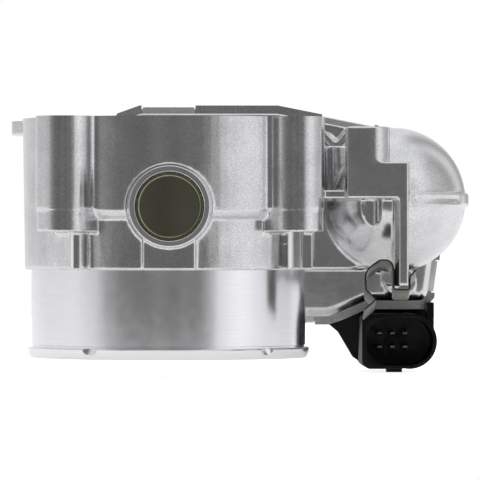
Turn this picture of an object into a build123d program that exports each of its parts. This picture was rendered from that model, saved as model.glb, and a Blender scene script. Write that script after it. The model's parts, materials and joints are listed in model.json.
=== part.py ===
from build123d import *
import os
from math import acos, atan2, cos, degrees, hypot, pi, radians, sin, sqrt, tan

# An electronic throttle body. Z runs along the air bore and Z = 0 is the engine-side flange face, with the
# origin on the bore axis. The throttle shaft and the motor both lie along Y. X points to the motor.

# ---- Driving dimensions, mm
# Air bore and barrel
BORE_R = 41.0
BARREL_R = 47.9
BARREL_DRAFT = 0.8
SHOULDER_Z = -49.4
SPIGOT_R = 45.0
LIP_R = 46.3
LIP_Z = -75.2
END_Z = -78.2
STEP_Z = -29.8
STEP_DEPTH = 2.2
COVE_HEIGHT = 3.4

# Four bolts to the intake manifold
BOLT_PCD = 105.6
BOLT_TURN = -39.3
BOLT_HOLE_R = 3.3
BOSS_R = 9.3
BOSS_Z = -37.1
BOSS_ROOT_R = 1.9
CORE_R = 46.3
PARTING_STEP = 0.3
LUG_R = 11.6
LUG_Z = -4.8

# Throttle shaft and plate
SHAFT_Z = -29.0
SHAFT_R = 5.0
PLATE_R = 40.85
PLATE_THICK = 2.0
REST_OPENING = 6.0
BEARING_R = 11.0
BEARING_WIDTH = 6.0
FRONT_BEARING_Y = -46.0
REAR_BEARING_Y = 47.0
FRONT_FACE_Y = -57.0

# Motor
MOTOR_X = 74.1
MOTOR_Z = -26.5
MOTOR_R = 19.0
MOTOR_FRONT_Y = -7.0
MOTOR_BACK_Y = 48.0
DOME_R = 23.8
DOME_LENGTH = 30.0
DOME_TIP_R = 16.5
DOME_BASE_Y = 4.0

# Gear case and cover, as levels of Y
FLOOR_Y = 50.0
FLOOR_TOP_Y = 53.0
FLANGE_Y = 60.0
JOINT_Y = 64.0
GASKET_THICK = 0.6
COVER_FLANGE_THICK = 2.4
COVER_BACK_Y = 80.0
WALL_INSET = 3.0
CAVITY_INSET = 5.4
CASE_EDGE_R = 2.6
COVER_INSET = 2.2
COVER_WALL = 1.7

# Gear train
SECTOR_TEETH = 56
SECTOR_MODULE = 1.0
IDLER_SMALL_TEETH = 19
IDLER_LARGE_TEETH = 76
PINION_TEETH = 16
FINE_MODULE = 0.8
SECTOR_FROM_DEG = -20.0
SECTOR_TO_DEG = 90.0
SECTOR_Y = (62.0, 69.0)
FINE_Y = (71.0, 75.0)
PRESSURE_DEG = 20.0
BACKLASH = 0.12

# Connector in the cover
SOCKET_X = (65.1, 90.3)
SOCKET_Z = (-83.0, -64.4)
SOCKET_MOUTH_Y = 32.0
SOCKET_FLOOR_Y = 50.0
SOCKET_WALL = 1.3
PIN_X = 75.7
PIN_Z = -73.4
PIN_PITCH_X = 4.3
PIN_PITCH_Z = 4.6
PIN_SIZE = (1.5, 0.63)

# Bracket boss on the motor side
BRACKET_X = 64.7
BRACKET_Y = -25.0
BRACKET_R = 6.9
BRACKET_HOLE_R = 3.3
BRACKET_Z = (-26.3, -3.0)
FIN_X = (72.9, 77.4)
FIN_EDGE_X = 74.5
FIN_Z = -54.6

# Travel stops of the sector gear, and the motor's two screws
OPEN_TRAVEL = 79.0
STOP_R = 24.0
STOP_SCREW_Z = -8.0
STOP_SCREW_Y = 57.0
EAR_R = 25.8
EAR_DEGS = (-80.5, 140.0)
TERMINAL_SHIFTS = (2.5, 13.0)

FIT = 0.03


# ---- Helpers
def along_y(outline, y_from, y_to):
    """Prism of an outline drawn in X and Z, between two levels of Y."""
    plane = Plane((0, y_to, 0), x_dir=(1, 0, 0), z_dir=(0, -1, 0))
    return extrude(plane * outline, y_to - y_from)


def along_z(outline, z_from, z_to):
    """Prism of an outline drawn in X and Y, between two levels of Z."""
    return Pos(0, 0, z_from) * extrude(outline, z_to - z_from)


def rod(x, z, radius, y_from, y_to):
    """Cylinder parallel to the throttle shaft."""
    return along_y(Pos(x, z) * Circle(radius), y_from, y_to)


def ring(x, z, outer, inner, y_from, y_to):
    """Tube parallel to the throttle shaft."""
    return along_y(Pos(x, z) * (Circle(outer) - Circle(inner)), y_from, y_to)


def post(x, y, radius, z_from, z_to):
    """Cylinder parallel to the air bore."""
    return along_z(Pos(x, y) * Circle(radius), z_from, z_to)


def block(x, y, z):
    """Box from three pairs of low and high coordinates."""
    size = (x[1] - x[0], y[1] - y[0], z[1] - z[0])
    return Pos(x[0], y[0], z[0]) * Box(*size, align=(Align.MIN, Align.MIN, Align.MIN))


def turned(points, x, z):
    """Solid of revolution about an axis parallel to Y, from points of radius and Y."""
    return Pos(x, 0, z) * revolve(make_face(Polyline(*points, close=True)), Axis.Y)


def polar(x, z, radius, angle):
    """Point at a radius and angle about a centre in the XZ plane."""
    return x + radius * cos(radians(angle)), z + radius * sin(radians(angle))


# ---- Places worked out from the driving dimensions
BOLT_R = BOLT_PCD / 2
BOLT_ANGLES = [BOLT_TURN + 90 * k for k in range(4)]
BOLTS = [(BOLT_R * cos(radians(a)), BOLT_R * sin(radians(a))) for a in BOLT_ANGLES]

SECTOR_R = SECTOR_MODULE * SECTOR_TEETH / 2
IDLER_SMALL_R = SECTOR_MODULE * IDLER_SMALL_TEETH / 2
IDLER_LARGE_R = FINE_MODULE * IDLER_LARGE_TEETH / 2
PINION_R = FINE_MODULE * PINION_TEETH / 2


def idler_place():
    """Centre of the idler: it meshes with the sector on one side and the motor pinion on the other."""
    first, second = SECTOR_R + IDLER_SMALL_R, IDLER_LARGE_R + PINION_R
    span_x, span_z = MOTOR_X, MOTOR_Z - SHAFT_Z
    span = hypot(span_x, span_z)
    along = (first**2 - second**2 + span**2) / (2 * span)
    below = sqrt(first**2 - along**2)
    x = (along * span_x + below * span_z) / span
    z = SHAFT_Z + (along * span_z - below * span_x) / span
    return x, z


IDLER_X, IDLER_Z = idler_place()
MESH_DEG = degrees(atan2(IDLER_Z - SHAFT_Z, IDLER_X))
FINE_MESH_DEG = degrees(atan2(MOTOR_Z - IDLER_Z, MOTOR_X - IDLER_X))
COVER_FRONT_Y = JOINT_Y + GASKET_THICK
COVER_FLANGE_Y = COVER_FRONT_Y + COVER_FLANGE_THICK


# ---- Outline of the gear case and its cover
CASE_TOP = [(-17.1, 3.5), (-9.6, 6.2), (37.6, 6.2), (71.9, -0.6)]
CASE_RIGHT = [(83.2, -12.0), (93.0, -44.8), (91.0, -59.4), (87.7, -63.3), (68.0, -63.3)]
CASE_BOTTOM = [(59.1, -67.2), (54.8, -68.6), (31.2, -68.6), (1.2, -64.4)]
CASE_LEFT = [(-34.6, -38.5), (-34.6, -19.5)]
CASE_SHAFT_R = 35.1
CASE_MOTOR_R = 25.2

CLIP_WIDTH = 17.6
CLIP_NOTCH = 1.3
CLIP_THICK = 0.6
# Middle of each cover clip on the outline, the angle of its outward normal, and its width
CLIPS = [
    (0.3, 6.2, 90.0, CLIP_WIDTH),
    (61.8, 1.4, 78.8, CLIP_WIDTH),
    (92.0, -52.2, -7.8, 10.5),
    (41.1, -68.6, -90.0, CLIP_WIDTH),
    (-34.6, -29.0, 180.0, CLIP_WIDTH),
]


def case_outline(inset):
    """The gear case's outline in X and Z, moved inwards by the inset."""
    corners = make_face(Polyline(*CASE_TOP, *CASE_RIGHT, *CASE_BOTTOM, *CASE_LEFT, close=True))
    if inset > 0:
        corners = offset(corners, -inset, kind=Kind.INTERSECTION)
    left_x = CASE_LEFT[0][0] + inset
    shaft_end = Pos(0, SHAFT_Z) * Circle(CASE_SHAFT_R - inset)
    shaft_end -= Pos(left_x - CASE_SHAFT_R, SHAFT_Z) * Rectangle(2 * CASE_SHAFT_R, 2 * CASE_SHAFT_R)
    return corners + shaft_end + Pos(MOTOR_X, MOTOR_Z) * Circle(CASE_MOTOR_R - inset)


def clip_frame(clip):
    """Place at a clip's middle on the outline: local X runs along the edge and local Y points outwards."""
    x, z, normal, _ = clip
    return Location((x, z, 0), (0, 0, normal - 90))


def clip_notches(y_from, y_to):
    """Pockets in the flange edge that the cover clips sit in."""
    cuts = [clip_frame(c) * Rectangle(c[3] + 0.8, 2 * CLIP_NOTCH) for c in CLIPS]
    return [along_y(cut, y_from, y_to) for cut in cuts]


# ---- Housing
def barrel():
    """Drafted barrel with its machined shoulder, the hose spigot and the spigot's lip."""
    points = [
        (0, 0),
        (BARREL_R, 0),
        (BARREL_R - BARREL_DRAFT, SHOULDER_Z),
        (SPIGOT_R, SHOULDER_Z),
        (SPIGOT_R, LIP_Z + 0.7),
        (LIP_R, LIP_Z),
        (LIP_R, END_Z + 0.8),
        (LIP_R - 0.8, END_Z),
        (0, END_Z),
    ]
    return revolve(Plane.XZ * make_face(Polyline(*points, close=True)), Axis.Z)


def step_cove():
    """Concave cove under the step of the barrel's thick band."""
    outer, inner, low = BARREL_R + STEP_DEPTH, CORE_R, STEP_Z - COVE_HEIGHT
    hollow = RadiusArc((outer, STEP_Z), (inner, low), 1.25 * COVE_HEIGHT)
    sides = Polyline((inner, low), (0, low), (0, STEP_Z), (outer, STEP_Z))
    cove = revolve(Plane.XZ * make_face([hollow, sides]), Axis.Z)
    return cove & block((BOLTS[3][0], BOLTS[0][0]), (-60, -25), (low, STEP_Z))


def boss_outline(x, y, radius):
    """Round boss for a manifold bolt in X and Y, widened to the barrel."""
    root = (x * 0.72, y * 0.72)
    return make_hull((Pos(x, y) * Circle(radius)).edges() + (Pos(*root) * Circle(radius)).edges())


def rooted(core_r, outline, root_r):
    """A barrel section with an outline joined on and its concave corners rounded."""
    joined = Circle(core_r) + outline
    corners = [v for v in joined.vertices() if abs(hypot(v.X, v.Y) - core_r) < 0.01 and abs(v.Y) > 0.1]
    return fillet(corners, root_r)


def bolt_bosses():
    """The four manifold bolt bosses, with roots to the barrel. The one behind on the left is a thin lug."""
    front_right, rear_right, rear_left, front_left = BOLTS
    bosses = []
    for place in (front_right, front_left, rear_right):
        upper = rooted(CORE_R, boss_outline(*place, BOSS_R), BOSS_ROOT_R)
        lower = rooted(CORE_R, boss_outline(*place, BOSS_R - PARTING_STEP), BOSS_ROOT_R)
        bosses += [along_z(upper, STEP_Z, 0), along_z(lower, BOSS_Z, STEP_Z)]
    return [*bosses, along_z(boss_outline(*rear_left, LUG_R), LUG_Z, 0)]


def thick_band():
    """Thicker upper band of the barrel between the two front bolt bosses, with its roots and its cove."""
    outer = BARREL_R + STEP_DEPTH
    front = [rooted(outer, boss_outline(*BOLTS[k], BOSS_R), BOSS_ROOT_R) for k in (0, 3)]
    inside = Pos(0, -45) * Rectangle(BOLTS[0][0] - BOLTS[3][0], 40)
    bands = [along_z(section & inside, STEP_Z, 0) for section in front]
    return [*bands, step_cove()]


def boss_columns():
    """Columns that carry the front bolt bosses down to the shoulder."""
    left = rooted(CORE_R, boss_outline(-29.8, -40.0, 3.4), 3.2)
    right = block((38.0, 46.4), (-31.2, -20), (SHOULDER_Z, BOSS_Z))
    return [along_z(left, SHOULDER_Z, BOSS_Z), right]


def locating_rib():
    """Low curved rib on the flange face beside the front right bolt."""
    x, y = BOLTS[0]
    arch = Pos(x - 1, y) * (Circle(BOSS_R - 0.4) - Circle(BOSS_R - 2.4))
    keep = Pos(x - 1, y - 6) * Rectangle(16, 12)
    return along_z(arch & keep, 0, 1.5)


def shaft_boss():
    """Front bearing boss with the block that supports it."""
    rim = [(0, FRONT_FACE_Y), (12.6, FRONT_FACE_Y), (13.4, FRONT_FACE_Y + 3)]
    boss = turned([*rim, (14.0, -40), (0, -40)], 0, SHAFT_Z)
    support = block((-8.4, 8.4), (FRONT_FACE_Y + 2.5, -35), (SHOULDER_Z, SHAFT_Z))
    return [boss, support]


def rear_neck():
    """Casting between the barrel and the gear case: bearing boss, webs and the rear bolt columns."""
    boss = rod(0, SHAFT_Z, 17, 30, FLOOR_Y + 1)
    webs = [block((-28, 66), (18, FLOOR_Y + 1), (z, z + 4)) for z in (-14.0, -49.4)]
    return [boss, *webs]


def case_shell():
    """Outside of the gear case: the wall with its rounded lower front edge, and the cover flange."""
    wall = along_y(case_outline(WALL_INSET), FLOOR_Y, FLANGE_Y)
    front_edges = wall.edges().group_by(Axis.Y)[0]
    wall = fillet(front_edges.filter_by(lambda edge: edge.center().Z < SHAFT_Z), CASE_EDGE_R)
    return wall + along_y(case_outline(0), FLANGE_Y, JOINT_Y)


def dome(grow, y_back):
    """Bullet-shaped motor housing: a round tip and a larger side radius that runs into the cylinder."""
    tip_centre_y = DOME_BASE_Y - DOME_LENGTH + DOME_TIP_R
    fall = DOME_BASE_Y - tip_centre_y
    side_r = (DOME_R**2 + fall**2 - DOME_TIP_R**2) / (2 * (DOME_R - DOME_TIP_R))
    side_x = DOME_R - side_r
    lean = atan2(fall, -side_x)
    meet = (side_x + (side_r + grow) * cos(lean), DOME_BASE_Y - (side_r + grow) * sin(lean))
    tip = (0, DOME_BASE_Y - DOME_LENGTH - grow)
    shoulder = (DOME_R + grow, DOME_BASE_Y)
    edges = [
        RadiusArc(tip, meet, -DOME_TIP_R - grow),
        RadiusArc(meet, shoulder, -side_r - grow),
        Polyline(shoulder, (DOME_R + grow, y_back), (0, y_back), tip),
    ]
    return Pos(MOTOR_X, 0, MOTOR_Z) * revolve(make_face(edges), Axis.Y)


def dome_rib():
    """Parting rib round the motor side of the dome, with a shallow slot in it."""
    proud, slot_depth = 1.1, 0.7
    slab = block((MOTOR_X + 3.5, 120), (-40, 40), (MOTOR_Z - 2.1, MOTOR_Z + 2.1))
    slot = along_y(Pos(MOTOR_X + 13.4, MOTOR_Z) * SlotOverall(15.8, 2.5), -40, 3)
    return (dome(proud, 36) & slab) - (slot - dome(proud - slot_depth, 36))


def motor_web():
    """Web between the barrel and the motor housing."""
    corners = [(36, -22.5), (60, -22.5), (MOTOR_X, MOTOR_Z), (MOTOR_X, -46), (60, -49.2), (36, -49.2)]
    return along_y(make_face(Polyline(*corners, close=True)), 0, FLOOR_Y + 1)


def bracket_boss():
    """Upright boss for a bracket screw with its blocks, the bar to a bolt boss, and the fin."""
    low, top = BRACKET_Z
    front, back = BRACKET_Y - BRACKET_R, BRACKET_Y + BRACKET_R
    boss = post(BRACKET_X, BRACKET_Y, BRACKET_R, low, top)
    left = block((BRACKET_X - BRACKET_R - 0.5, BRACKET_X), (front, back), (low, top))
    lower = block((BRACKET_X, FIN_X[1]), (front, back), (low, -14.4))
    bar = block((44, BRACKET_X), (front + 1.5, back + 6), (low, -23.6))
    column = post(55.4, -6, 5.2, low, -9)
    deep, near = FLOOR_Y + 1, front + 2.7
    corners = [(FIN_EDGE_X, front), (FIN_X[1], front), (FIN_X[1], deep), (FIN_X[0], deep), (FIN_X[0], near)]
    fin = along_z(make_face(Polyline(*corners, close=True)), FIN_Z, low)
    return [boss, left, lower, bar, column, fin]


def case_ribs():
    """Diagonal ribs on the front of the gear case, above the bar."""
    ribs = []
    for lean in (-1, 1):
        rib = Pos(56.2, -9) * Rot(0, 0, 40 * lean) * Rectangle(2.4, 18)
        ribs.append(along_y(rib, 30, FLOOR_Y + 1))
    return ribs


def motor_ears():
    """Columns under the gear case floor that take the motor's two screws."""
    return [rod(*polar(MOTOR_X, MOTOR_Z, EAR_R + 2.2, a), 5.2, 38, FLOOR_TOP_Y) for a in EAR_DEGS]


def stop_screw_rod(radius, x_from, x_to):
    """Cylinder on the closed-stop screw's axis, which lies along X."""
    plane = Plane((x_from, STOP_SCREW_Y, STOP_SCREW_Z), x_dir=(0, 1, 0), z_dir=(1, 0, 0))
    return extrude(plane * Circle(radius), x_to - x_from)


def stop_screw_boss():
    """Boss for the closed-stop screw on the side of the gear case."""
    return stop_screw_rod(3.0, -27.0, -20.0)


def housing_cavities():
    """Everything that is bored, drilled or cored out of the housing."""
    cuts = [post(0, 0, BORE_R, END_Z - 1, 1)]
    cuts += [post(x, y, BOLT_HOLE_R, BOSS_Z - 20, 2) for x, y in BOLTS]
    cuts.append(rod(0, SHAFT_Z, SHAFT_R + FIT, FRONT_FACE_Y + 2, FLOOR_TOP_Y + 1))
    cuts.append(rod(0, SHAFT_Z, BEARING_R + FIT, FRONT_FACE_Y - 1, FRONT_BEARING_Y))
    cuts.append(rod(0, SHAFT_Z, BEARING_R + FIT, REAR_BEARING_Y, FLOOR_TOP_Y + 1))
    cuts.append(rod(0, SHAFT_Z, 8 + FIT, FRONT_BEARING_Y - 1, FRONT_BEARING_Y + 2.5))
    cuts.append(rod(0, SHAFT_Z, 8 + FIT, REAR_BEARING_Y - 2.5, REAR_BEARING_Y + 1))
    cuts.append(along_y(case_outline(CAVITY_INSET), FLOOR_TOP_Y, JOINT_Y + 1))
    cuts.append(rod(MOTOR_X, MOTOR_Z, MOTOR_R + 0.3, MOTOR_FRONT_Y - 1, FLOOR_TOP_Y + 1))
    cuts.append(rod(MOTOR_X, MOTOR_Z, 7.3, MOTOR_FRONT_Y - 7, MOTOR_FRONT_Y))
    cuts.append(post(BRACKET_X, BRACKET_Y, BRACKET_HOLE_R, BRACKET_Z[0] - 1, BRACKET_Z[1] + 1))
    cuts.append(post(BRACKET_X, BRACKET_Y, 4.1, -40, BRACKET_Z[0]))
    cuts += [rod(*polar(MOTOR_X, MOTOR_Z, EAR_R, a), 1.6, 43, FLOOR_TOP_Y + 1) for a in EAR_DEGS]
    cuts.append(stop_screw_rod(2.0 + FIT, -40, -16))
    cuts += clip_notches(FLANGE_Y - 0.01, JOINT_Y + 1)
    return cuts


def housing_inner_bosses():
    """Bosses that rise from the gear case floor: idler pin boss, open stop and spring anchor."""
    pin_boss = ring(IDLER_X, IDLER_Z, 5.0, 2.5 + FIT, FLOOR_TOP_Y - 1, 59.5)
    open_stop = rod(*polar(0, SHAFT_Z, STOP_R, SECTOR_FROM_DEG - OPEN_TRAVEL - 7.5), 2.6, FLOOR_TOP_Y - 1, 68)
    anchor = rod(*polar(0, SHAFT_Z, 19.5, 150), 2.0, FLOOR_TOP_Y - 1, 59)
    return [pin_boss, open_stop, anchor]


def throttle_housing():
    """The one die-cast body: barrel, spigot, bosses, gear case and motor housing."""
    body = barrel()
    for piece in thick_band() + bolt_bosses() + boss_columns() + shaft_boss() + rear_neck():
        body += piece
    body += case_shell()
    for piece in [dome(0, FLOOR_Y + 1), dome_rib(), motor_web(), *bracket_boss(), *case_ribs(), *motor_ears()]:
        body += piece
    body += stop_screw_boss()
    for cut in housing_cavities():
        body -= cut
    for piece in housing_inner_bosses():
        body += piece
    return body + locating_rib()


# ---- Throttle shaft, plate and bearings
PLATE_SCREW_Y = (-16.0, 16.0)
PLATE_SCREW_R = 2.0
FLAT_Z = 4.0


def at_rest(piece):
    """Turns a piece modelled with a closed throttle to the sprung rest opening, on the shaft axis."""
    return Pos(0, 0, SHAFT_Z) * Rot(0, REST_OPENING, 0) * piece


def throttle_shaft():
    """Shaft with a slot for the plate, flats for the screw heads and a stepped end for the sector gear."""
    shaft = rod(0, 0, SHAFT_R, -51.5, 61.5) + rod(0, 0, 3.5, 61.5, 66.0)
    shaft -= block((-6, 6), (-41.3, 41.3), (-PLATE_THICK / 2 - 0.02, PLATE_THICK / 2 + 0.02))
    for y in PLATE_SCREW_Y:
        shaft -= block((-6, 6), (y - 4.2, y + 4.2), (FLAT_Z, 6))
        shaft -= post(0, y, PLATE_SCREW_R + FIT, -6, 6)
    shaft -= block((-6, 6), (61.5, 67), (2.6, 6))
    return at_rest(shaft)


def throttle_plate():
    """Round butterfly plate."""
    plate = post(0, 0, PLATE_R, -PLATE_THICK / 2, PLATE_THICK / 2)
    for y in PLATE_SCREW_Y:
        plate -= post(0, y, PLATE_SCREW_R + 0.15, -2, 2)
    return at_rest(plate)


def plate_screws():
    """Two pan-head screws that hold the plate in the shaft's slot."""
    screws = []
    for y in PLATE_SCREW_Y:
        screw = post(0, y, PLATE_SCREW_R, -5.2, FLAT_Z) + post(0, y, 3.4, FLAT_Z, FLAT_Z + 1.8)
        screw -= block((-2.2, 2.2), (y - 0.4, y + 0.4), (FLAT_Z + 0.9, FLAT_Z + 3))
        screw -= block((-0.4, 0.4), (y - 2.2, y + 2.2), (FLAT_Z + 0.9, FLAT_Z + 3))
        screws.append(at_rest(screw))
    return Compound(children=screws)


BALL_R = 1.55
BALL_PITCH_R = 8.0
BALL_COUNT = 9


def race(outer, inner, middle_y, groove_r):
    """Bearing race with its ball groove."""
    half = BEARING_WIDTH / 2
    solid = ring(0, SHAFT_Z, outer, inner, middle_y - half, middle_y + half)
    return solid - Pos(0, middle_y, SHAFT_Z) * Rot(90, 0, 0) * Torus(BALL_PITCH_R, groove_r)


def bearing(front_y):
    """Outer race, inner race and balls of a shaft bearing that starts at a level of Y."""
    middle = front_y + BEARING_WIDTH / 2
    outer = race(BEARING_R, 9.2, middle, BALL_R + 0.06)
    inner = race(6.8, SHAFT_R + FIT, middle, BALL_R + 0.06)
    balls = []
    for k in range(BALL_COUNT):
        x, z = polar(0, SHAFT_Z, BALL_PITCH_R, 360 * k / BALL_COUNT)
        balls.append(Pos(x, middle, z) * Sphere(BALL_R))
    return outer, inner, Compound(children=balls)


def shaft_seal(y_from):
    """Lip seal round the shaft."""
    return ring(0, SHAFT_Z, 8.0, SHAFT_R + 0.06, y_from, y_from + 2.4)


def end_plug():
    """Pressed cup that closes the front bearing bore."""
    cup = rod(0, SHAFT_Z, BEARING_R, -56.2, -53.0)
    return cup - rod(0, SHAFT_Z, BEARING_R - 0.6, -57, -54.0)


# ---- Gears
def involute(angle):
    return tan(angle) - angle


def gear_outline(x, z, module, teeth, tooth_deg):
    """Spur gear outline in X and Z with one tooth centred on the given direction."""
    pitch_r = module * teeth / 2
    base_r = pitch_r * cos(radians(PRESSURE_DEG))
    root_r = pitch_r - 1.2 * module
    tip_r = pitch_r + 0.95 * module
    half_pitch = pi / (2 * teeth) - BACKLASH / (2 * pitch_r) + involute(radians(PRESSURE_DEG))
    low_r = max(root_r, base_r)
    flank = []
    for k in range(5):
        r = low_r + (tip_r - low_r) * k / 4
        flank.append((r, half_pitch - involute(acos(min(1, base_r / r)))))
    if root_r < base_r:
        flank.insert(0, (root_r, flank[0][1]))
    points = []
    for tooth in range(teeth):
        middle = radians(tooth_deg) + 2 * pi * tooth / teeth
        side = [(r, middle - a) for r, a in flank] + [(r, middle + a) for r, a in reversed(flank)]
        points += [(x + r * cos(a), z + r * sin(a)) for r, a in side]
    return make_face(Polyline(*points, close=True))


def wedge(x, z, radius, start, end):
    """Pie slice in X and Z between two angles."""
    steps = 8
    rim = [polar(x, z, radius, start + (end - start) * k / steps) for k in range(steps + 1)]
    return make_face(Polyline((x, z), *rim, close=True))


def sector_gear():
    """Moulded sector gear with its hub, which carries the return spring."""
    toothed = gear_outline(0, SHAFT_Z, SECTOR_MODULE, SECTOR_TEETH, MESH_DEG)
    toothed &= wedge(0, SHAFT_Z, SECTOR_R * 1.2, SECTOR_FROM_DEG, SECTOR_TO_DEG)
    sector = along_y(toothed, *SECTOR_Y)
    middle = (SECTOR_FROM_DEG + SECTOR_TO_DEG) / 2
    lightening = Pos(0, SHAFT_Z) * (Circle(21.5) - Circle(12.5))
    lightening &= wedge(0, SHAFT_Z, 30, middle - 40, middle + 40)
    sector -= along_y(lightening, SECTOR_Y[0] + 2.5, SECTOR_Y[1] + 1)
    lug = Pos(0, SHAFT_Z) * (Circle(23.0) - Circle(17.0))
    lug &= wedge(0, SHAFT_Z, 30, SECTOR_TO_DEG - 8, SECTOR_TO_DEG)
    sector += along_y(lug, STOP_SCREW_Y - 2, SECTOR_Y[0] + 1)
    sector += rod(0, SHAFT_Z, 10.0, 54.0, 70.5)
    sector -= rod(0, SHAFT_Z, SHAFT_R + 1.5, 53, 63.5)
    return sector - rod(0, SHAFT_Z, 7.6, 63.0, 71)


def sector_insert():
    """Steel bush that joins the moulded sector to the shaft."""
    insert = ring(0, SHAFT_Z, SHAFT_R + 1.5 - FIT, SHAFT_R + FIT, 54.2, 61.5)
    insert += ring(0, SHAFT_Z, SHAFT_R + 1.5 - FIT, 3.5 + FIT, 61.5, 62.9)
    return insert


def sensor_magnet():
    """Ring magnet in the sector's hub, read by the position sensor."""
    return ring(0, SHAFT_Z, 7.6 - FIT, 4.6, 66.2, 70.2)


def idler_gear():
    """Double idler: coarse teeth to the sector, fine teeth to the motor pinion."""
    turn = MESH_DEG + 180 + 180 / IDLER_SMALL_TEETH
    small = gear_outline(IDLER_X, IDLER_Z, SECTOR_MODULE, IDLER_SMALL_TEETH, turn)
    large = gear_outline(IDLER_X, IDLER_Z, FINE_MODULE, IDLER_LARGE_TEETH, FINE_MESH_DEG)
    idler = along_y(small, SECTOR_Y[0] - 0.5, FINE_Y[0])
    idler += along_y(large, *FINE_Y)
    idler += rod(IDLER_X, IDLER_Z, 6.0, 59.8, FINE_Y[1] + 1)
    for k in range(6):
        idler -= rod(*polar(IDLER_X, IDLER_Z, 20, 60 * k + 30), 5.5, FINE_Y[0] - 1, FINE_Y[1] + 1)
    return idler - rod(IDLER_X, IDLER_Z, 2.5 + FIT, 55, 80)


def idler_pin():
    """Steel pin that the idler turns on, between the housing floor and the cover."""
    return rod(IDLER_X, IDLER_Z, 2.5, 53.2, 77.8)


# ---- Return spring and stop screw
def return_spring():
    """Torsion spring round the sector's hub, with a leg at each end."""
    wire, mean_r, turns, pitch = 0.8, 13.2, 3, 2.0
    coil_path = Helix(pitch, turns * pitch, mean_r)
    section = Plane(coil_path @ 0, z_dir=coil_path % 0) * Circle(wire)
    coil = sweep(section, path=coil_path)
    for end, sign in ((0, -1), (1, 1)):
        start, direction = coil_path @ end, coil_path % end
        leg = Plane(start, z_dir=direction * sign)
        coil += extrude(leg * Circle(wire), 7.5)
    return Pos(0, 55.0, SHAFT_Z) * Rot(-90, 0, 0) * coil


def spring_bush():
    """Guide bush between the sector's hub and the return spring."""
    return ring(0, SHAFT_Z, 12.0, 10.0 + 0.25, 54.0, 61.0)


def closed_stop_screw():
    """Threaded stop screw through the gear case wall that sets the closed throttle position."""
    return stop_screw_rod(2.0, -30.0, -2.8) - stop_screw_rod(1.0, -30.5, -28.0)


# ---- Motor
def motor_can():
    """Steel can with its front hub."""
    can = rod(MOTOR_X, MOTOR_Z, MOTOR_R, MOTOR_FRONT_Y, MOTOR_BACK_Y)
    can += rod(MOTOR_X, MOTOR_Z, 6.0, MOTOR_FRONT_Y - 5, MOTOR_FRONT_Y)
    can -= rod(MOTOR_X, MOTOR_Z, MOTOR_R - 1.2, MOTOR_FRONT_Y + 1.2, MOTOR_BACK_Y + 1)
    return can - rod(MOTOR_X, MOTOR_Z, 4.4, MOTOR_FRONT_Y - 3.8, MOTOR_FRONT_Y + 2)


def motor_magnets():
    """Two arc magnets inside the can."""
    arc = Pos(MOTOR_X, MOTOR_Z) * (Circle(MOTOR_R - 1.25) - Circle(15.0))
    halves = [arc & wedge(MOTOR_X, MOTOR_Z, 40, a, a + 140) for a in (-70, 110)]
    return Compound(children=[along_y(half, 2, 36) for half in halves])


def armature_shaft():
    return rod(MOTOR_X, MOTOR_Z, 2.0, -10.4, 76.5)


def armature_core():
    """Laminated core with twelve winding slots."""
    outline = Pos(MOTOR_X, MOTOR_Z) * Circle(14.6)
    for k in range(12):
        outline -= Pos(*polar(MOTOR_X, MOTOR_Z, 10.4, 30 * k)) * Circle(1.9)
        slit = Pos(*polar(MOTOR_X, MOTOR_Z, 13.2, 30 * k)) * Rot(0, 0, 30 * k) * Rectangle(4, 1.2)
        outline -= slit
    return along_y(outline, 4, 34) - rod(MOTOR_X, MOTOR_Z, 2.0 + FIT, 3, 35)


def armature_windings():
    """Copper end turns on both ends of the core."""
    ends = [ring(MOTOR_X, MOTOR_Z, 13.2, 5.0, *y) for y in ((0.2, 3.9), (34.1, 38.0))]
    return Compound(children=[fillet(e.edges().filter_by(GeomType.CIRCLE), 1.2) for e in ends])


def commutator():
    """Copper commutator with its slots."""
    drum = ring(MOTOR_X, MOTOR_Z, 5.2, 2.0 + FIT, 39.0, 46.0)
    for k in range(6):
        x, z = polar(MOTOR_X, MOTOR_Z, 5.2, 60 * k)
        drum -= along_y(Pos(x, z) * Rot(0, 0, 60 * k) * Rectangle(1.6, 0.4), 38, 44.5)
    return drum


def motor_brushes():
    """Two carbon brushes against the commutator."""
    brushes = []
    for side in (-1, 1):
        x = (5.4 * side, 11.0 * side)
        brush = block((min(x), max(x)), (40.5, 45.0), (-2.2, 2.2)) - rod(0, 0, 5.45, 40, 46)
        brushes.append(Pos(MOTOR_X, 0, MOTOR_Z) * brush)
    return Compound(children=brushes)


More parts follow.
